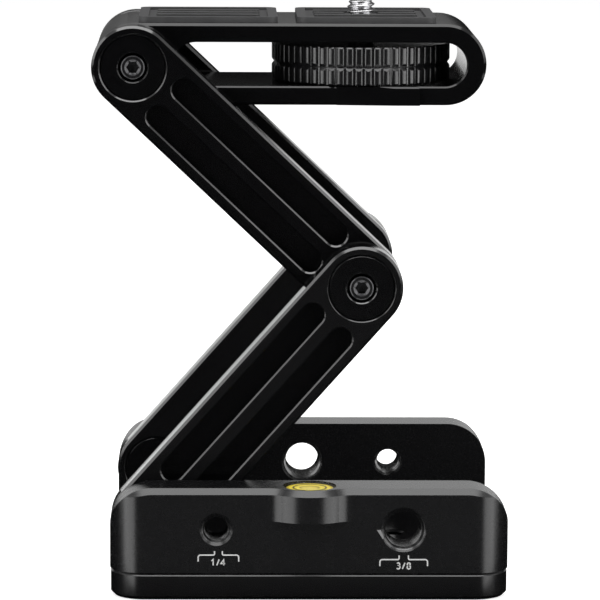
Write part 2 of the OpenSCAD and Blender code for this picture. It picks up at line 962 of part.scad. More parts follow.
module top_pivot_screw_front() {
    color("#3a3a3c")
        on_pivot(top_pivot, 0)
            translate([0, 0, upper_out - top_cap_sink])
                pivot_screw(top_cap_len);
}

module top_pivot_screw_rear() {
    rear()
        top_pivot_screw_front();
}

module top_washer_front() {
    color("#555558")
        on_pivot(top_pivot, 0)
            translate([0, 0, boss_half])
                washer();
}

module top_washer_rear() {
    rear()
        top_washer_front();
}

// Frame of the knob: Z up along the camera screw, with z = 0 at the height of the top pivot
module on_screw() {
    on_pivot(top_pivot, 0)
        rotate([-90, 0, 0])
            translate([knob_x, 0, 0])
                children();
}

// Knurled knob: two rows of ribs parted by a groove
module knob() {
    color("#1c1c1f")
        on_screw()
            translate([0, 0, knob_z])
                difference() {
                    rotate_extrude()
                        polygon([
                            [shank_r + thread_clear, 0],
                            [knob_r - knob_chamfer, 0],
                            [knob_r, knob_chamfer],
                            [knob_r, groove_z - groove_w / 2],
                            [knob_r - groove_depth, groove_z],
                            [knob_r, groove_z + groove_w / 2],
                            [knob_r, knob_h - knob_chamfer],
                            [knob_r - knob_chamfer, knob_h],
                            [shank_r + thread_clear, knob_h]
                        ]);
                    for (rib = [0 : rib_count - 1])
                        rotate(rib * 360 / rib_count)
                            translate([0, 0, -cut])
                                linear_extrude(knob_h + 2 * cut)
                                    polygon([
                                        [knob_r - rib_depth, -rib_gap / 2],
                                        [knob_r - rib_chamfer, -rib_gap / 2],
                                        [knob_r + cut, -rib_gap / 2 - rib_chamfer - cut],
                                        [knob_r + cut, rib_gap / 2 + rib_chamfer + cut],
                                        [knob_r - rib_chamfer, rib_gap / 2],
                                        [knob_r - rib_depth, rib_gap / 2]
                                    ]);
                }
}

// Camera screw: journal in the lower bar, shank through knob and upper bar, thread above the pad
module camera_screw() {
    color("#c9c9cc")
        on_screw()
            rotate_extrude()
                polygon([
                    [0, journal_z],
                    [journal_r, journal_z],
                    [journal_r, knob_z],
                    [shank_r, knob_z],
                    [shank_r, pad_top],
                    [screw_r, pad_top],
                    [screw_r, screw_top - screw_tip],
                    [screw_r - screw_tip, screw_top],
                    [0, screw_top]
                ]);
}

base_plate();
front_wall();
rear_wall();
base_screws();
level_cup();
level_fluid();
level_lens();
base_cap_front();
base_cap_rear();
base_pivot_screw_front();
base_pivot_screw_rear();
base_washer_front();
base_washer_rear();
lower_arm_front();
lower_arm_rear();
upper_arm_front();
upper_arm_rear();
middle_cap_front();
middle_cap_rear();
middle_pivot_screw_front();
middle_pivot_screw_rear();
middle_washer_front();
middle_washer_rear();
platform();
left_pad();
right_pad();
top_cap_front();
top_cap_rear();
top_pivot_screw_front();
top_pivot_screw_rear();
top_washer_front();
top_washer_rear();
knob();
camera_screw();
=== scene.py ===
import math

import bpy
import numpy as np
from mathutils import Matrix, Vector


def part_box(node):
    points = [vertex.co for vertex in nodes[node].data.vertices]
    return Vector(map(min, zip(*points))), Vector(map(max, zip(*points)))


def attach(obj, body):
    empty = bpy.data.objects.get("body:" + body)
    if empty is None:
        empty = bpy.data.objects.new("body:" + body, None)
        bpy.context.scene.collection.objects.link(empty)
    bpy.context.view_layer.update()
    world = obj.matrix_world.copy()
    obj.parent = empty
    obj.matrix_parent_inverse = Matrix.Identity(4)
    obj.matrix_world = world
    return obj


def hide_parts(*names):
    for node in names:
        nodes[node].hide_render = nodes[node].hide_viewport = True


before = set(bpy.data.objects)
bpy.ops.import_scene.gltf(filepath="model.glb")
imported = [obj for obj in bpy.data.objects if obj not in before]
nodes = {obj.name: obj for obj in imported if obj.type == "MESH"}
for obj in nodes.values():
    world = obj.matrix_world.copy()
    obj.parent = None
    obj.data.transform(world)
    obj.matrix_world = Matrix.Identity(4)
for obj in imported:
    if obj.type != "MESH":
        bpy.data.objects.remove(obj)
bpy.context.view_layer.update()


# Base plate: a slab of aluminium, milled all round, blasted with fine beads and anodised black.
# Six countersunk screws hold the two walls on it, and two camera threads are cut in its middle.

MM = 0.001


class Wire:
    """One output of a node tree. Arithmetic on it adds Math nodes, and node() makes any other node."""

    def __init__(self, tree, socket=None):
        self.tree = tree
        self.socket = socket

    def node(self, kind, settings, sockets, out=0):
        """Makes a node: its settings first, then the values or links of its sockets. Gives one output."""
        made = self.tree.nodes.new(kind)
        for name, value in settings.items():
            if name == "stops":
                stops = made.color_ramp.elements
                while len(stops) < len(value):
                    stops.new(1.0)
                for stop, (place, shade) in zip(stops, value):
                    stop.position = place
                    stop.color = shade
            else:
                setattr(made, name, value)
        for name, value in sockets.items():
            if isinstance(value, Wire):
                self.tree.links.new(value.socket, made.inputs[name])
            else:
                made.inputs[name].default_value = value
        return Wire(self.tree, made.outputs[out] if made.outputs else None)

    def sum_of(self, operation, left, right):
        return self.node("ShaderNodeMath", {"operation": operation}, {0: left, 1: right})

    def __add__(self, other):
        return self.sum_of("ADD", self, other)

    def __radd__(self, other):
        return self.sum_of("ADD", other, self)

    def __sub__(self, other):
        return self.sum_of("SUBTRACT", self, other)

    def __rsub__(self, other):
        return self.sum_of("SUBTRACT", other, self)

    def __mul__(self, other):
        return self.sum_of("MULTIPLY", self, other)

    def __rmul__(self, other):
        return self.sum_of("MULTIPLY", other, self)


def new_finish(name):
    """An empty material, a wire to draw its nodes with, and the object's own coordinates in metres."""
    finish = bpy.data.materials.new(name)
    finish.use_nodes = True
    finish.node_tree.nodes.clear()
    pen = Wire(finish.node_tree)
    place = pen.node("ShaderNodeTexCoord", {}, {}, "Object")
    return finish, pen, place


def close_finish(pen, shader):
    """Ends a material: the shader goes to its surface."""
    pen.node("ShaderNodeOutputMaterial", {}, {"Surface": shader})


def blend_tones(pen, share, low, high):
    """A colour between two others by a share from 0 to 1."""
    return pen.node("ShaderNodeMix", {"data_type": "RGBA"}, {0: share, 6: (*low, 1.0), 7: (*high, 1.0)}, 2)


def cloud(pen, place, scale, detail=2.0):
    """Soft noise from 0 to 1. Scale is in waves to the metre."""
    return pen.node("ShaderNodeTexNoise", {}, {"Vector": place, "Scale": scale, "Detail": detail}, "Fac")


def inside_band(pen, place, middle, half):
    """One where the distance from the head's middle plane is in a band, given by the band's middle and half width."""
    beside = pen.node("ShaderNodeSeparateXYZ", {}, {0: place}, "Y")
    away = pen.node("ShaderNodeMath", {"operation": "ABSOLUTE"}, {0: beside})
    return pen.node("ShaderNodeMath", {"operation": "COMPARE"}, {0: away, 1: middle, 2: half})


def anodised(name, low, high, rough, grain, gloss=0.5, band=None):
    """Black anodising on blasted aluminium.

    A 0.2 mm bead grain lifts the surface a little, finger-wide clouds move the dye between two near blacks, and the
    sheen is a little rougher where the grain is high. Beads reach hollows and inner faces differently, so a band of
    distances from the middle plane can have a coat of its own: its middle, its half width, what it adds to the
    roughness, and its gloss.
    """
    bead_height = 0.02 * MM
    finish, pen, place = new_finish(name)
    beads = cloud(pen, place, 5200.0, 3.0)
    dye = cloud(pen, place, 90.0, 4.0)
    wear = cloud(pen, place, 700.0, 5.0)
    lift = pen.node("ShaderNodeBump", {}, {"Strength": grain, "Distance": bead_height, "Height": beads})
    sheen = rough + 0.03 * (wear - 0.5) + 0.03 * (beads - 0.5)
    tone = blend_tones(pen, dye, low, high)

    def coat(roughness, level):
        """One layer of the dye, with its roughness and its gloss."""
        return pen.node("ShaderNodeBsdfPrincipled", {}, {
            "Base Color": tone, "Roughness": roughness, "Specular IOR Level": level, "Normal": lift,
        })

    shader = coat(sheen, gloss)
    if band:
        middle, half, change, level = band
        shader = pen.node("ShaderNodeMixShader", {}, {
            0: inside_band(pen, place, middle, half), 1: shader, 2: coat(sheen + change, level),
        })
    close_finish(pen, shader)
    return finish


def dress(finish, *names):
    """Puts one finish on CAD nodes."""
    for name in names:
        for place in nodes[name].material_slots:
            place.material = finish


inside_half = 36.9 * MM
plate_black = anodised("black_anodised_plate", (0.0022, 0.0022, 0.0024), (0.0036, 0.0036, 0.0039), 0.25, 0.10,
                       band=(0.0, inside_half, -0.13, 0.08))
dress(plate_black, "base_plate")


# Thread cutting: every socket in the base is tapped to a camera thread, so its bore shows the ridges of a helix.
# Small sockets are 1/4 inch with 20 turns to the inch, large ones 3/8 inch with 16.

inch = 25.4
small_pitch = inch / 20
large_pitch = inch / 16


def mesh_piece(name, points, faces, finish, body, crease=180.0):
    """Makes a piece of points in millimetres, smooth up to a crease in degrees, and lets it ride on a body."""
    mesh = bpy.data.meshes.new(name)
    mesh.from_pydata((points * MM).tolist(), [], faces)
    mesh.materials.append(finish)
    mesh.polygons.foreach_set("use_smooth", np.ones(len(mesh.polygons), dtype=bool))
    mesh.set_sharp_from_angle(angle=math.radians(crease))
    mesh.update()
    piece = bpy.data.objects.new(name, mesh)
    bpy.context.scene.collection.objects.link(piece)
    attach(piece, body)
    return piece


def grid_quads(rows, columns, close_rows):
    """Quads of a grid that closes on itself along its columns, and along its rows too if asked."""
    last = rows if close_rows else rows - 1
    row, column = np.meshgrid(np.arange(last), np.arange(columns), indexing="ij")
    after = (row + 1) % rows
    beside = (column + 1) % columns
    quads = np.stack([row * columns + column, row * columns + beside, after * columns + beside,
                      after * columns + column], axis=-1)
    return quads.reshape(-1, 4)


def ridge(turns):
    """Height from 0 to 1 of a 60 degree thread after so many turns: flat root, straight flank, flat crest."""
    wave = np.abs(2 * (turns - np.floor(turns)) - 1)
    return np.clip((wave - 0.25) / 0.625, 0, 1)


def tapped_bore(name, mouth, inward, thread, end, finish, turn_rows=20, count=72):
    """Ridges of an inner thread as a closed sleeve.

    A thread is the radius of its bore and of its core, its pitch, and the depth at which it starts. The sleeve's inside
    carries the mouth's countersink on at 45 degrees to the core, with the thread as a shallow line on it. Behind it is
    the bore's radius less the ridge's height at the depth in pitches less the angle in turns, faded out over the last
    pitch. Its outside is a plain cylinder just inside the wall's metal.
    """
    bore_r, core_r, pitch, start = thread
    clear = 0.01
    buried = 0.06
    line = 0.15
    rows = int((end - start) / pitch * turn_rows)
    depth = np.linspace(start, end, rows)
    angle = np.linspace(0, 2 * np.pi, count, endpoint=False)
    deep, turn = np.meshgrid(depth, angle, indexing="ij")
    tall = bore_r - core_r
    cone = (deep - start) / tall
    ridges = ridge(deep / pitch - turn / (2 * np.pi))
    height = np.where(cone < 1, cone * (1 - line + line * ridges), ridges)
    inside = bore_r + clear - tall * height * np.clip((end - deep) / pitch, 0, 1)
    radius = np.vstack([inside, np.full((2, count), bore_r + buried)])
    deep = np.vstack([deep, np.full((1, count), end), np.full((1, count), start)])
    turn = np.vstack([turn, turn[:2]])
    inward = np.array(inward, dtype=float)
    across = np.array([1.0, 0.0, 0.0])
    third = np.cross(inward, across)
    points = (np.array(mouth) + deep[..., None] * inward
              + radius[..., None] * (np.cos(turn)[..., None] * across + np.sin(turn)[..., None] * third))
    quads = grid_quads(rows + 2, count, True)
    return mesh_piece(name, points.reshape(-1, 3), quads.tolist(), finish, "base")


small_thread = (3.2, 2.56, small_pitch, 0.52)
large_thread = (4.8, 3.97, large_pitch, 0.32)
short_of_end = 0.05
socket_x = 21.0
upwards = (0, 0, 1)
plate_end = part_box("base_plate")[1].z / MM - short_of_end
tapped_bore("thread_under_large", (0, 0, 0), upwards, large_thread, plate_end, plate_black)
tapped_bore("thread_under_small", (socket_x, 0, 0), upwards, small_thread, plate_end, plate_black)


# Front wall: a bar of the same aluminium with a milled boss for the level. Two threaded sockets go through it.
# The size of each thread is printed under it in white, inside a bracket.

wall_black = anodised("black_anodised_wall", (0.0026, 0.0026, 0.0029), (0.0044, 0.0044, 0.0048), 0.27, 0.15, 0.45)
thread_black = anodised("black_anodised_thread", (0.0022, 0.0022, 0.0024), (0.0040, 0.0040, 0.0043), 0.24, 0.15, 0.85)
dress(wall_black, "front_wall")
front_y = -48.0
wall_t = 11.0
wall_end = wall_t - short_of_end
wall_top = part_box("front_wall")[1].z / MM
socket_z = wall_top - 9.2
backwards = (0, 1, 0)
tapped_bore("thread_front_small", (-socket_x, front_y, socket_z), backwards, small_thread, wall_end, thread_black)
tapped_bore("thread_front_large", (socket_x, front_y, socket_z), backwards, large_thread, wall_end, thread_black)


def sloping_lip(name, rim, inside, deep, finish):
    """The sloping floor of the thread's start: from a line on the wall's face to a line inside the bore.

    Rim and inside hold two places in the wall's face each, and deep says how far inside lies behind the face. The
    floor is the ruled surface between the two lines, and a flat back closes it.
    """
    rim, inside, deep = (np.array(line, dtype=float) for line in (rim, inside, deep))
    front = 0.02
    back = 0.98
    flat = np.stack([rim, inside, inside, rim], axis=1)
    behind = np.stack([np.full(2, front), deep, np.full(2, back), np.full(2, back)], axis=1)
    points = np.stack([socket_x + flat[..., 0], front_y + behind, socket_z + flat[..., 1]], axis=-1)
    faces = np.vstack([grid_quads(2, 4, False), [[3, 2, 1, 0], [4, 5, 6, 7]]])
    return mesh_piece(name, points.reshape(-1, 3), faces.tolist(), finish, "base", 20.0)


lip_rim = [(-6.0, -0.02), (-4.62, -2.16)]
lip_inside = [(-4.86, -0.02), (-4.40, -2.0)]
lip_deep = (0.55, 0.20)
sloping_lip("thread_start_lip", lip_rim, lip_inside, lip_deep, thread_black)

bracket_w = 0.30
figure_w = 0.28
print_t = 0.03
print_root = 0.02


def arc(centre, radius, first, last, count=9):
    """Points on a circle between two angles in degrees."""
    angle = np.radians(np.linspace(first, last, count))
    return np.stack([centre[0] + radius * np.cos(angle), centre[1] + radius * np.sin(angle)], axis=-1)


def printed_line(path, width):
    """A printed stroke: a path in the wall's face, offset to both sides along its mean normals, as a thin bar."""
    path = np.asarray(path, dtype=float)
    step = np.diff(path, axis=0)
    step /= np.linalg.norm(step, axis=1, keepdims=True)
    along = np.vstack([step[:1], step[:-1] + step[1:], step[-1:]])
    along /= np.linalg.norm(along, axis=1, keepdims=True)
    lean = np.maximum((along * np.vstack([step[:1], step])).sum(axis=1, keepdims=True), 0.5)
    side = np.stack([-along[:, 1], along[:, 0]], axis=-1) * width / 2 / lean
    left = path + side
    right = path - side
    flat = np.stack([left, right, right, left], axis=1)
    height = front_y + np.array([-print_t, -print_t, print_root, print_root])
    points = np.stack([flat[..., 0], np.broadcast_to(height, flat.shape[:2]), flat[..., 1]], axis=-1)
    count = len(path)
    ends = np.array([[0, 1, 2, 3], [4 * count - 1, 4 * count - 2, 4 * count - 3, 4 * count - 4]])
    return points.reshape(-1, 3), np.vstack([grid_quads(count, 4, False)[:, ::-1], ends])


def printed_mark(name, strokes, finish):
    """All strokes of one mark as one piece."""
    bars = [printed_line(path, width) for path, width in strokes]
    shift = np.cumsum([0] + [len(points) for points, _ in bars[:-1]])
    points = np.vstack([points for points, _ in bars])
    faces = np.vstack([faces + first for (_, faces), first in zip(bars, shift)])
    return mesh_piece(name, points, faces.tolist(), finish, "base", 20.0)


def bracket(middle, width, notch, foot, bar, tip):
    """The two halves of a bracket: a leg, a rounded corner, a bar and an upright tick beside the middle."""
    curve = 0.55
    heel = 0.3
    left = np.vstack([
        [[middle - width / 2, foot]],
        arc((middle - width / 2 + curve, bar - curve), curve, 180, 90),
        arc((middle - notch / 2 - heel, bar + heel), heel, 270, 360, 5),
        [[middle - notch / 2, tip]],
    ])
    right = left * [-1, 1] + [2 * middle, 0]
    return [(left, bracket_w), (right, bracket_w)]


def figure(sign, left, foot, tall):
    """The strokes of a figure in a plain round hand, from its left edge and its foot, in shares of its height."""
    wide = 0.62 * tall
    x = left + wide / 2
    if sign == "1":
        lines = [[(x - 0.26 * tall, foot + 0.74 * tall), (x + 0.02 * tall, foot + tall), (x + 0.02 * tall, foot)]]
    elif sign == "/":
        lines = [[(x - 0.20 * tall, foot), (x + 0.20 * tall, foot + tall)]]
    elif sign == "4":
        lines = [[(x + 0.36 * tall, foot + 0.30 * tall), (x - 0.34 * tall, foot + 0.30 * tall),
                  (x + 0.14 * tall, foot + tall), (x + 0.14 * tall, foot)]]
    elif sign == "3":
        low = arc((x - 0.04 * tall, foot + 0.28 * tall), 0.28 * tall, -150, 90)
        high = arc((x - 0.04 * tall, foot + 0.76 * tall), 0.24 * tall, -90, 150)
        lines = [np.vstack([low, high[1:]])]
    else:
        lines = [arc((x, foot + 0.27 * tall), 0.27 * tall, 0, 360, 17),
                 arc((x, foot + 0.77 * tall), 0.23 * tall, 0, 360, 17)]
    return lines


def thread_size(signs, middle, foot, tall):
    """A fraction centred on a socket's axis: its signs side by side, 0.82 of their height apart."""
    pitch = 0.82 * tall
    first = middle - pitch * len(signs) / 2 + 0.1 * tall
    lines = [line for place, sign in enumerate(signs) for line in figure(sign, first + place * pitch, foot, tall)]
    return [(line, figure_w) for line in lines]


def white_print():
    """White screen print: slightly uneven, a little dusty, on the metal's bead grain."""
    finish, pen, place = new_finish("white_print")
    ink = cloud(pen, place, 9000.0, 3.0)
    shader = pen.node("ShaderNodeBsdfPrincipled", {}, {
        "Base Color": blend_tones(pen, ink, (0.34, 0.34, 0.34), (0.52, 0.52, 0.51)),
        "Roughness": 0.45 + 0.2 * ink,
        "Normal": pen.node("ShaderNodeBump", {}, {"Strength": 0.2, "Distance": 0.03 * MM, "Height": ink}),
    })
    close_finish(pen, shader)
    return finish


print_white = white_print()
small_lines = bracket(-20.5, 9.1, 1.75, socket_z - 7.3, socket_z - 5.8, socket_z - 4.9)
small_lines += thread_size("1/4", -20.6, socket_z - 8.15, 1.35)
printed_mark("mark_small", small_lines, print_white)
large_lines = bracket(21.1, 10.7, 2.1, socket_z - 8.3, socket_z - 6.8, socket_z - 5.85)
large_lines += thread_size("3/8", 21.1, socket_z - 8.95, 1.4)
printed_mark("mark_large", large_lines, print_white)


# Rear wall: the front wall's mirror image without the boss, milled from the same aluminium and anodised with it.
# Three screws hold it on the plate from below. Its threaded sockets are in the middle and on the right.

dress(wall_black, "rear_wall")
forwards = (0, -1, 0)
tapped_bore("thread_rear_large", (0, -front_y, socket_z), forwards, large_thread, wall_end, thread_black)
tapped_bore("thread_rear_small", (socket_x, -front_y, socket_z), forwards, small_thread, wall_end, thread_black)


# Base screws and pivot screws: turned steel with a hexagon broached in the head, blackened in hot salt.
# The base's screws are driven from below; a pivot screw goes through each cap.


def blackened(name, low, high, rough):
    """Oiled black oxide on steel: dark metal with faint streaks and small bare specks."""
    finish, pen, place = new_finish(name)
    streak = cloud(pen, place, 1500.0, 4.0)
    specks = cloud(pen, place, 6000.0, 2.0)
    shader = pen.node("ShaderNodeBsdfPrincipled", {}, {
        "Base Color": blend_tones(pen, streak, low, high),
        "Metallic": 0.85,
        "Roughness": rough + 0.15 * (specks - 0.5),
        "Normal": pen.node("ShaderNodeBump", {}, {"Strength": 0.15, "Distance": 0.03 * MM, "Height": specks}),
    })
    close_finish(pen, shader)
    return finish


screw_black = blackened("black_oxide_screw", (0.05, 0.05, 0.052), (0.09, 0.09, 0.093), 0.36)
dress(screw_black, "base_screws")


def close_poles(rows, count):
    """Triangles that close the first and the last row of a grid to two points behind its own points."""
    ring = np.arange(count)
    beside = (ring + 1) % count
    top = (rows - 1) * count
    low = np.stack([np.full(count, rows * count), beside, ring], axis=-1)
    high = np.stack([np.full(count, rows * count + 1), top + ring, top + beside], axis=-1)
    return low.tolist() + high.tolist()


def socket_screw(middle, head, tip, out, count=72):
    """A socket head screw as one closed surface, from the point of its shank to the floor of its hexagon.

    Each row has a radius, a share of hexagon from 0 to 1 and a depth below the head. With the share the radius goes
    over to the hexagon's: half the key's width over the cosine of the angle from the middle of the nearest flat.
    """
    half_key = 1.25
    floor = 1.75
    length = abs(tip - head)
    rows = np.array([
        (1.05, 0, length), (1.50, 0, length - 0.45), (1.50, 0, 3.0), (2.65, 0, 3.0), (2.75, 0, 2.9), (2.75, 0, 0.32),
        (2.66, 0, 0.12), (2.45, 0, 0.0), (1.85, 0, 0.0), (1.70, 0, 0.08), (1.45, 1, 0.35), (1.45, 1, 1.5),
        (0.7, 0, 1.6),
    ])
    turn = np.linspace(0, 2 * np.pi, count, endpoint=False)
    flat = half_key / np.cos(turn % (np.pi / 3) - np.pi / 6)
    radius, share, depth = (column[:, None] for column in rows.T)
    radius = radius + share * (flat - radius)
    across = np.cos(turn) * radius
    along = -out * np.sin(turn) * radius
    rise = np.broadcast_to(head - out * depth, radius.shape)
    points = np.stack([middle[0] + across, rise, middle[1] + along], axis=-1).reshape(-1, 3)
    poles = np.array([[middle[0], tip, middle[1]], [middle[0], head - out * floor, middle[1]]])
    return np.vstack([points, poles]), grid_quads(len(rows), count, False).tolist() + close_poles(len(rows), count)


pivot_steel = blackened("black_oxide_pivot", (0.022, 0.022, 0.023), (0.055, 0.055, 0.057), 0.24)
carrier = {"base": "base", "middle": "upper_arm", "top": "platform"}
for pivot, body in carrier.items():
    for side, sign in (("front", -1), ("rear", 1)):
        node = f"{pivot}_pivot_screw_{side}"
        low, high = (np.array(corner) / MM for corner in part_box(node))
        out = -sign if pivot == "base" else sign
        head, tip = (high[1], low[1]) if out > 0 else (low[1], high[1])
        points, faces = socket_screw(((low[0] + high[0]) / 2, (low[2] + high[2]) / 2), head, tip, out)
        screw = mesh_piece(f"{node}_head", points, faces, pivot_steel, body, 25.0)
        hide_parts(node)


# Bubble level: a moulded cup pressed into the boss, filled with yellow liquid, closed by a clear lens.
# A black ring printed under the lens is the mark that the bubble is read by.


def moulded_cup():
    """Pale yellow moulded plastic, a little mottled."""
    finish, pen, place = new_finish("level_cup_plastic")
    mottle = cloud(pen, place, 900.0, 3.0)
    shader = pen.node("ShaderNodeBsdfPrincipled", {}, {
        "Base Color": blend_tones(pen, mottle, (0.62, 0.50, 0.10), (0.74, 0.62, 0.18)),
        "Roughness": 0.35 + 0.1 * mottle,
    })
    close_finish(pen, shader)
    return finish


def reach_from(pen, place, middle, axes):
    """Distance of a place from an axis through a middle: the length of what is left along the two other axes."""
    near = pen.node("ShaderNodeVectorMath", {"operation": "SUBTRACT"}, {0: place, 1: middle})
    flat = pen.node("ShaderNodeVectorMath", {"operation": "MULTIPLY"}, {0: near, 1: axes})
    return pen.node("ShaderNodeVectorMath", {"operation": "LENGTH"}, {0: flat}, "Value")


def liquid_and_painted_shade(middle):
    """Yellow dyed spirit, by the distance from the vial's axis as a share of 6 mm.

    A pale bubble in the middle with a painted dark rim as the shade at its edge, clear yellow round it, and painted
    shade in olive towards the cup's wall.
    """
    vial_r = 6.0 * MM
    finish, pen, place = new_finish("liquid_and_painted_shade")
    swirl = cloud(pen, place, 600.0, 2.0)
    reach = reach_from(pen, place, middle, (1.0, 1.0, 0.0)) * (1.0 / vial_r) + 0.04 * (swirl - 0.5)
    # Painted shade: the dark stop at 0.36 draws the bubble's shaded edge, and the stops from 0.82 out darken the liquid
    # to olive where the cup's wall shades it.
    tone = pen.node("ShaderNodeValToRGB", {"stops": [
        (0.00, (0.86, 0.72, 0.14, 1.0)),
        (0.30, (0.74, 0.60, 0.11, 1.0)),
        (0.36, (0.30, 0.23, 0.03, 1.0)),
        (0.42, (0.96, 0.78, 0.07, 1.0)),
        (0.76, (0.92, 0.73, 0.06, 1.0)),
        (0.82, (0.52, 0.40, 0.03, 1.0)),
        (1.00, (0.22, 0.17, 0.02, 1.0)),
    ]}, {"Fac": reach})
    shader = pen.node("ShaderNodeBsdfPrincipled", {}, {
        "Base Color": tone,
        "Roughness": 0.30 + 0.10 * swirl,
        "Specular IOR Level": 0.15,
    })
    close_finish(pen, shader)
    return finish


def clear_lens():
    """Clear acrylic, polished, with a breath of haze."""
    finish, pen, place = new_finish("level_lens_acrylic")
    haze = cloud(pen, place, 1200.0, 3.0)
    shader = pen.node("ShaderNodeBsdfPrincipled", {}, {
        "Base Color": blend_tones(pen, haze, (0.04, 0.04, 0.04), (0.07, 0.07, 0.07)),
        "Roughness": 0.02 + 0.04 * haze,
        "Alpha": 0.05 + 0.05 * haze,
    })
    close_finish(pen, shader)
    return finish


def turned_body(middle, radius, tall):
    """A closed body turned about an upright axis: a radius at each row and angle, a height at each row, two poles."""
    rows, count = radius.shape
    turn = np.linspace(0, 2 * np.pi, count, endpoint=False)
    points = np.stack([middle[0] + radius * np.cos(turn), middle[1] + radius * np.sin(turn),
                       np.broadcast_to(tall[:, None], radius.shape)], axis=-1).reshape(-1, 3)
    poles = np.array([[middle[0], middle[1], tall[0]], [middle[0], middle[1], tall[-1]]])
    return np.vstack([points, poles]), grid_quads(rows, count, False).tolist() + close_poles(rows, count)


def plain_rows(profile, count=72):
    """The radii of a body that is round all the way up: each radius of the profile at every angle."""
    return np.repeat(np.array(profile)[:, None], count, axis=1)


lens_low, lens_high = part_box("level_lens")
lens_middle = (lens_low + lens_high) / 2
level_axis = (lens_middle.x / MM, lens_middle.y / MM)
dress(moulded_cup(), "level_cup")
liquid_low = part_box("level_fluid")[0].z / MM
liquid_top = wall_top - 0.46
liquid_r = [5.2, 5.4, 5.4, 5.25, 2.5, 2.3, 1.8, 1.0]
liquid_dips = np.array([0.15, 0.0, 0.0, 0.02, 0.12, 0.20])
liquid_z = np.concatenate([[liquid_low, liquid_low + 0.2], liquid_top - liquid_dips])
points, faces = turned_body(level_axis, plain_rows(liquid_r), liquid_z)
spirit = mesh_piece("level_spirit", points, faces, liquid_and_painted_shade(lens_middle), "base", 30.0)
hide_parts("level_fluid")
dome_r = [5.5, 5.9, 5.95, 5.95, 5.85, 5.0, 3.0, 1.0]
dome_z = wall_top - np.array([0.42, 0.42, 0.37, 0.22, 0.14, 0.09, 0.045, 0.03])
points, faces = turned_body(level_axis, plain_rows(dome_r), dome_z)
dome = mesh_piece("level_dome", points, faces, clear_lens(), "base", 30.0)
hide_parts("level_lens")


def ring_of(centre, radius, wide, tall, count=96, sides=12):
    """A ring with an oval section: a circle of the given radius, carried with an ellipse round it."""
    turn = np.linspace(0, 2 * np.pi, count, endpoint=False)
    section = np.linspace(0, 2 * np.pi, sides, endpoint=False)
    turn, section = np.meshgrid(turn, section, indexing="ij")
    reach = radius + wide / 2 * np.cos(section)
    points = np.stack([centre[0] + reach * np.cos(turn), centre[1] + reach * np.sin(turn),
                       centre[2] + tall / 2 * np.sin(section)], axis=-1)
    return points.reshape(-1, 3), grid_quads(count, sides, True)[:, ::-1]


def ring_ink():
    """Black ink with a dull sheen."""
    finish, pen, place = new_finish("level_ring_ink")
    ink = cloud(pen, place, 6000.0, 2.0)
    shader = pen.node("ShaderNodeBsdfPrincipled", {}, {
        "Base Color": blend_tones(pen, ink, (0.012, 0.011, 0.010), (0.03, 0.027, 0.02)),
        "Roughness": 0.4 + 0.2 * ink,
    })
    close_finish(pen, shader)
    return finish


ring_points, ring_faces = ring_of((*level_axis, wall_top - 0.40), 3.7, 0.35, 0.06)
mesh_piece("level_ring", ring_points, ring_faces.tolist(), ring_ink(), "base")


# Arms: two pairs of milled bars, rounded at both ends, with two pockets along each to save weight.
# Their faces are blasted and anodised like the base.

pocket_depth = 3.2 * MM
lower_face = -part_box("lower_arm_front")[0].y
upper_black = anodised("black_anodised_upper", (0.0012, 0.0012, 0.0014), (0.0022, 0.0022, 0.0024), 0.14, 0.20, 0.70)
lower_black = anodised("black_anodised_lower", (0.0022, 0.0022, 0.0024), (0.0036, 0.0036, 0.0039), 0.19, 0.20, 0.60,
                       (lower_face - pocket_depth, pocket_depth / 2, -0.12, 0.60))
dress(upper_black, "upper_arm_front", "upper_arm_rear")
dress(lower_black, "lower_arm_front", "lower_arm_rear")


# Pivot caps: turned flanged bushes that sit in the arms' round seats, one to each side of a pivot.
# Fine rings from the lathe run round their faces. Thin washers in the gaps give the pivots their friction.


def turned(name, middle, gloss):
    """Black anodising over lathe rings: a sine of the distance from the pivot's axis, six rings to the millimetre."""
    finish, pen, place = new_finish(name)
    reach = reach_from(pen, place, middle, (1.0, 0.0, 1.0))
    rings = pen.node("ShaderNodeMath", {"operation": "SINE"}, {0: reach * (2 * math.pi * 6 / MM)})
    dye = cloud(pen, place, 400.0, 4.0)
    shader = pen.node("ShaderNodeBsdfPrincipled", {}, {
        "Base Color": blend_tones(pen, dye, (0.0014, 0.0014, 0.0016), (0.0026, 0.0026, 0.0028)),
        "Roughness": 0.10 + 0.04 * dye + 0.02 * rings,
        "Specular IOR Level": gloss,
        "Normal": pen.node("ShaderNodeBump", {}, {"Strength": 0.10, "Distance": 0.02 * MM, "Height": rings}),
    })
    close_finish(pen, shader)
    return finish


for pivot, gloss in (("base", 0.5), ("middle", 0.8), ("top", 0.4)):
    low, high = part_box(f"{pivot}_cap_front")
    dress(turned(f"turned_cap_{pivot}", (low + high) / 2, gloss), f"{pivot}_cap_front", f"{pivot}_cap_rear")


def washer_film():
    """Grey filled nylon, faintly speckled."""
    finish, pen, place = new_finish("washer_nylon")
    speck = cloud(pen, place, 5000.0, 3.0)
    shader = pen.node("ShaderNodeBsdfPrincipled", {}, {
        "Base Color": blend_tones(pen, speck, (0.018, 0.018, 0.019), (0.035, 0.035, 0.036)),
        "Roughness": 0.5 + 0.15 * speck,
    })
    close_finish(pen, shader)
    return finish


washers = [f"{pivot}_washer_{side}" for pivot in ("base", "middle", "top") for side in ("front", "rear")]
dress(washer_film(), *washers)


# Platform: a thick aluminium block, rounded at both ends and slotted right through for the knob.
# It is milled, blasted and anodised like the arms, and the top pivot's screws go into its left end.

platform_black = anodised("black_anodised_platform", (0.0016, 0.0016, 0.0018), (0.0028, 0.0028, 0.0030), 0.13, 0.20,
                          0.30)
dress(platform_black, "platform")


# Pads: two plates of black rubber, moulded with a rim and grip ribs, which keep the camera from turning.
# They are glued into shallow seats in the platform's top, and the camera screw comes up through the right one.


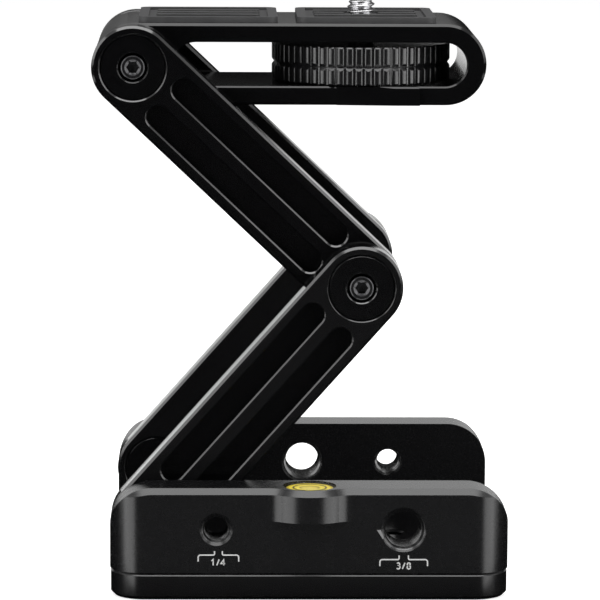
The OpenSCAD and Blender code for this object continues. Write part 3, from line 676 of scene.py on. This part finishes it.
def rubber():
    """Moulded rubber: a fine pebble from the mould, grey bloom in the hollows, dull sheen."""
    finish, pen, place = new_finish("pad_rubber")
    pebble = pen.node("ShaderNodeTexVoronoi", {}, {"Vector": place, "Scale": 3600.0}, "Distance")
    bloom = cloud(pen, place, 320.0, 4.0)
    shader = pen.node("ShaderNodeBsdfPrincipled", {}, {
        "Base Color": blend_tones(pen, bloom, (0.022, 0.022, 0.023), (0.045, 0.045, 0.046)),
        "Roughness": 0.55 + 0.15 * bloom,
        "Normal": pen.node("ShaderNodeBump", {}, {"Strength": 0.4, "Distance": 0.05 * MM, "Height": pebble}),
    })
    close_finish(pen, shader)
    return finish


dress(rubber(), "left_pad", "right_pad")


# Knob: an aluminium disc, turned, with sixty ribs milled round its rim and one groove that parts them.
# It is anodised black, pressed on the camera screw, and turns in the platform's slot.


def ribbed_knob(middle, low, high, outer, bore):
    """A ring whose rim is at each angle and height the least of three radii.

    Round the rim a rib has a crowned face, two flanks that bend from 16 to 43 degrees and a steep step into the gap
    beside it. Along the height both edges are chamfered at 45 degrees, and a wide V groove runs round, a little deeper
    than the gaps. Rows go from the bore out along the underside, up the rim and back along the top, and close on
    themselves.
    """
    ribs = 60
    pitch = 2 * np.pi * outer / ribs
    half = np.array([0.0, 0.16, 0.33, 0.49, 0.57, 0.65, 0.73, 0.81, 0.83])
    falls = [0.0, 0.006, 0.024, 0.052, 0.076, 0.116, 0.174, 0.247, 0.45]
    beside = np.concatenate([-half[::-1], half[1:], [pitch / 2]])
    fall = np.interp(np.abs(beside), half, falls)
    turn = (np.arange(ribs)[:, None] + 0.5 + beside / pitch).ravel() * 2 * np.pi / ribs
    fall = np.tile(fall, ribs)
    groove_z = low + 3.95
    groove_half = 0.78
    groove_deep = 0.56
    low_edge = 0.25
    high_edge = 0.28
    face_r = outer - 1.5
    across = groove_z + groove_half * np.linspace(-1, 1, 13)
    tall = np.concatenate([[low, low + low_edge], across, [high - high_edge, high]])
    groove = groove_deep * np.clip(1 - np.abs(tall - groove_z) / groove_half, 0, 1)
    edge = np.maximum(np.clip(low_edge - (tall - low), 0, 1), np.clip(high_edge - (high - tall), 0, 1))
    rim = outer - np.maximum(fall[None, :], np.maximum(groove, edge)[:, None])
    flat = np.ones((1, turn.size))
    radius = np.vstack([bore * flat, face_r * flat, rim, face_r * flat, bore * flat])
    tall = np.concatenate([[low, low], tall, [high, high]])
    points = np.stack([middle[0] + radius * np.cos(turn), middle[1] + radius * np.sin(turn),
                       np.broadcast_to(tall[:, None], radius.shape)], axis=-1)
    return points.reshape(-1, 3), grid_quads(len(tall), turn.size, True).tolist()


knob_black = anodised("black_anodised_knob", (0.0030, 0.0030, 0.0033), (0.0055, 0.0055, 0.0060), 0.24, 0.15)
knob_box = [np.array(corner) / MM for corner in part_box("knob")]
knob_low, knob_high = knob_box[0][2], knob_box[1][2]
knob_middle = (knob_box[0] + knob_box[1])[:2] / 2
knob_r = 20.7
knob_bore = 3.02
points, faces = ribbed_knob(knob_middle, knob_low, knob_high, knob_r, knob_bore)
ribbed = mesh_piece("knob_ribbed", points, faces, knob_black, "knob", 20.0)
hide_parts("knob")


# Camera screw: bright turned steel with a rolled 1/4 inch thread, pressed into the knob, with which it turns.
# Its foot runs in a bore in the platform's lower bar, and its thread stands above the right pad.


def threaded_pin(middle, profile, pitch, depth, count=96):
    """A turned pin with a thread.

    The profile gives radius, height and a thread share from 0 to 1 at each row; the radius loses the share times the
    depth of a rolled groove, a cosine of the height in pitches less the angle in turns. Both ends close in a point.
    """
    turn = np.linspace(0, 2 * np.pi, count, endpoint=False)
    reach, tall, share = (column[:, None] for column in np.asarray(profile, dtype=float).T)
    groove = 0.5 - 0.5 * np.cos(2 * np.pi * tall / pitch - turn)
    radius = np.maximum(reach - share * depth * groove, 0.0)
    return turned_body(middle, radius, tall[:, 0])


def bright_steel():
    """Turned stainless steel with a clean, sharp sheen and fine rings: a sine of the height, nine to a millimetre."""
    finish, pen, place = new_finish("bright_steel")
    height = pen.node("ShaderNodeSeparateXYZ", {}, {0: place}, "Z")
    rings = pen.node("ShaderNodeMath", {"operation": "SINE"}, {0: height * (2 * math.pi * 9 / MM)})
    dull = cloud(pen, place, 1800.0, 3.0)
    shader = pen.node("ShaderNodeBsdfPrincipled", {}, {
        "Base Color": blend_tones(pen, dull, (0.52, 0.52, 0.53), (0.66, 0.66, 0.67)),
        "Metallic": 1.0,
        "Roughness": 0.24 + 0.08 * dull,
        "Normal": pen.node("ShaderNodeBump", {}, {"Strength": 0.03, "Distance": 0.01 * MM, "Height": rings}),
    })
    close_finish(pen, shader)
    return finish


screw_low, screw_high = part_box("camera_screw")
screw_middle = [(screw_low.x + screw_high.x) / 2 / MM, (screw_low.y + screw_high.y) / 2 / MM]
screw_foot = screw_low.z / MM
screw_top = screw_high.z / MM
thread_r = 3.175
neck_r = 2.9
shank_r = 3.0
foot_r = 2.5
groove_depth = 0.72
tip = 0.6
platform_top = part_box("platform")[1].z / MM
thread_start = platform_top - 2.96
thread_full = platform_top + 1.04
thread_rows = np.linspace(thread_start, screw_top - tip, 144)
thread_share = np.clip((thread_rows - thread_start) / 0.6, 0, 1)
shank = [(foot_r, screw_foot, 0.0), (foot_r, knob_low, 0.0), (shank_r, knob_low, 0.0),
         (shank_r, thread_start - 0.1, 0.0)]
thread_reach = neck_r + (thread_r - neck_r) * np.clip((thread_rows - thread_full) / 0.3, 0, 1)
threaded = list(zip(thread_reach, thread_rows, thread_share))
point = [(thread_r - tip * step, screw_top - tip * (1 - step), 1.0 - step) for step in np.linspace(0, 1, 10)[1:]]
pin_points, pin_faces = threaded_pin(screw_middle, shank + threaded + point, small_pitch, groove_depth)
pin = mesh_piece("camera_screw_thread", pin_points, pin_faces, bright_steel(), "knob", 50.0)
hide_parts("camera_screw")


# Studio: white paper on the table and a white background, a wide soft light above and two soft strips at the front
# corners. Sheets that only gloss sees stand round the head and lie under it: black cloth keeps its faces dark, and
# pale cards draw its edges.

scene = bpy.context.scene
scene.view_settings.view_transform = "Standard"


def camera_axes(yaw, pitch, roll):
    """The camera's right, up and back directions from its turn, its tilt down and its roll, in degrees."""
    yaw, pitch, roll = np.radians([yaw, pitch, roll])
    ahead = np.array([np.sin(yaw) * np.cos(pitch), np.cos(yaw) * np.cos(pitch), -np.sin(pitch)])
    right = np.array([np.cos(yaw), -np.sin(yaw), 0.0])
    up = np.cross(right, ahead)
    return np.stack([right * np.cos(roll) + up * np.sin(roll), up * np.cos(roll) - right * np.sin(roll), -ahead])


film_width = 36.0
picture_width = 600
focal_length = 3962.36
camera_above_wall = 168.043
lens = bpy.data.cameras.new("camera")
lens.sensor_width = film_width
lens.lens = focal_length / picture_width * film_width
lens.clip_start = 0.05
lens.clip_end = 50.0
camera = bpy.data.objects.new("camera", lens)
scene.collection.objects.link(camera)
pose = np.eye(4)
pose[:3, :3] = camera_axes(1.196, 8.172, 0.287).T
pose[:3, 3] = np.array([-20.686, -919.711, wall_top + camera_above_wall]) * MM
camera.matrix_world = Matrix(pose.tolist())
scene.camera = camera


def sheet_of(name, points, faces, finish):
    """A sheet for the studio, of points in metres."""
    mesh = bpy.data.meshes.new(name)
    mesh.from_pydata(points, [], faces)
    mesh.materials.append(finish)
    made = bpy.data.objects.new(name, mesh)
    scene.collection.objects.link(made)
    return made


def upright(name, first, last, low, high, finish):
    """An upright sheet on the line from one place on the table to another, between two heights."""
    corners = [(*first, low), (*last, low), (*last, high), (*first, high)]
    return sheet_of(name, corners, [(0, 1, 2, 3)], finish)


def lying(name, half, near, far, height, finish):
    """A sheet that lies level: to half its width on either side, from near to far."""
    corners = [(-half, near, height), (half, near, height), (half, far, height), (-half, far, height)]
    return sheet_of(name, corners, [(0, 1, 2, 3)], finish)


def seen_white(pen):
    """One for rays that look, from the camera and through glass, and a little less for those off gloss."""
    looks = [pen.node("ShaderNodeLightPath", {}, {}, ray) for ray in
             ("Is Camera Ray", "Is Glossy Ray", "Is Transmission Ray")]
    return pen.node("ShaderNodeMath", {"operation": "MINIMUM"}, {0: looks[0] + 0.7 * looks[1] + looks[2], 1: 1.0})


def floor_paper():
    """White paper: it scatters light and keeps shadows, and is lifted to white where it is looked at."""
    finish, pen, _ = new_finish("floor_paper")
    paper = pen.node("ShaderNodeBsdfDiffuse", {}, {"Color": (0.8, 0.8, 0.8, 1.0)})
    lift = pen.node("ShaderNodeEmission", {}, {"Color": (1.0, 1.0, 1.0, 1.0), "Strength": seen_white(pen) * 0.72})
    close_finish(pen, pen.node("ShaderNodeAddShader", {}, {0: paper, 1: lift}))
    return finish


def flag_cloth():
    """Black cloth."""
    finish, pen, _ = new_finish("flag_cloth")
    close_finish(pen, pen.node("ShaderNodeBsdfDiffuse", {}, {"Color": (0.004, 0.004, 0.004, 1.0)}))
    return finish


def glow_card(name, strength):
    """A card that shines evenly in the object's gloss."""
    finish, pen, _ = new_finish(name)
    close_finish(pen, pen.node("ShaderNodeEmission", {}, {"Color": (1.0, 1.0, 1.0, 1.0), "Strength": strength}))
    return finish


def polished_table():
    """A polished table, as the object's own gloss sees it: it doubles the strips, the cards and the cloth downwards."""
    finish, pen, _ = new_finish("polished_table")
    close_finish(pen, pen.node("ShaderNodeBsdfGlossy", {}, {"Color": (0.9, 0.9, 0.9, 1.0), "Roughness": 0.0}))
    return finish


def cloth_arc(radius, first, last, low, high, finish, count=48):
    """Upright cloth on a part of a circle: the circle between two angles from +X in degrees, at two heights."""
    turn = np.radians(np.linspace(first, last, count))
    rim = np.stack([radius * np.cos(turn), radius * np.sin(turn)], axis=-1)
    points = np.vstack([np.column_stack([rim, np.full(count, height)]) for height in (low, high)])
    step = np.arange(count - 1)
    quads = np.stack([step + 1, step, step + count, step + count + 1], axis=-1)
    return sheet_of("flag_round", points.tolist(), quads.tolist(), finish)


floor_drop = 0.0002
side_x = 0.75
back_y = 0.12
back_half = 0.5
lying("floor", 6.0, -6.0, 12.0, -floor_drop, floor_paper())
cloth = flag_cloth()
near_card = glow_card("card_bright", 4.4)
far_card = glow_card("card_far", 1.6)
high_card = glow_card("card_high", 3.0)
flags = [
    cloth_arc(1.2, 125.0, 415.0, 0.0001, 0.80, cloth),
    upright("flag_back", (-0.047, back_y), (back_half, back_y), 0.115, 0.133, cloth),
    upright("card_end", (-back_half, back_y), (-0.047, back_y), 0.10, 0.133, glow_card("card_dim", 0.12)),
    upright("flag_slot", (-0.03, back_y), (0.02, back_y), 0.10, 0.115, cloth),
    upright("card_back", (-back_half, back_y), (back_half, back_y), 0.133, 0.16, glow_card("card_grey", 0.18)),
    upright("card_above", (-back_half, back_y), (back_half, back_y), 0.16, 0.60, glow_card("card_faint", 0.06)),
    lying("flag_table", 0.30, -0.058, 0.40, 0.0002, cloth),
    lying("table_gloss", 1.25, -1.25, 0.40, 0.0001, polished_table()),
]
for side, x in (("left", -side_x), ("right", side_x)):
    flags += [
        upright(f"card_{side}", (x, -0.45), (x, -0.08), 0.01, 0.09, near_card),
        upright(f"card_{side}_low", (x, -0.08), (x, 0.40), 0.10, 0.20, far_card),
        upright(f"card_{side}_high", (x, -0.25), (x, 0.25), 0.20, 0.80, high_card),
    ]
for flag in flags:
    flag.visible_camera = False
    flag.visible_diffuse = False
    flag.visible_shadow = False
    flag.visible_transmission = False

world = bpy.data.worlds.new("studio")
scene.world = world
world.use_nodes = True
world.node_tree.nodes.clear()
air = Wire(world.node_tree)
bright = seen_white(air)
sky = air.node("ShaderNodeBackground", {}, {"Color": (1.0, 1.0, 1.0, 1.0), "Strength": 0.30 + 0.70 * bright})
air.node("ShaderNodeOutputWorld", {}, {"Surface": sky})


def soft_light(name, place, target, wide, tall, power):
    """A rectangular soft light that faces a target."""
    lamp = bpy.data.lights.new(name, "AREA")
    lamp.shape = "RECTANGLE"
    lamp.size = wide
    lamp.size_y = tall
    lamp.energy = power
    light = bpy.data.objects.new(name, lamp)
    scene.collection.objects.link(light)
    back = np.array(place, dtype=float) - np.array(target, dtype=float)
    back /= np.linalg.norm(back)
    side = np.cross((0.0, 1.0, 0.0) if abs(back[2]) > 0.9 else (0.0, 0.0, 1.0), back)
    side /= np.linalg.norm(side)
    turned_to = np.eye(4)
    turned_to[:3, :3] = np.stack([side, np.cross(back, side), back]).T
    turned_to[:3, 3] = place
    light.matrix_world = Matrix(turned_to.tolist())
    return light


strip_x = 0.552
soft_light("light_top", (0.0, -0.08, 0.95), (0.0, 0.0, 0.06), 0.9, 0.8, 10.2)
soft_light("light_left", (-strip_x, -0.431, 0.30), (0.0, 0.0, 0.30), 0.42, 0.60, 2.9)
soft_light("light_right", (strip_x, -0.431, 0.30), (0.0, 0.0, 0.30), 0.42, 0.60, 2.9)
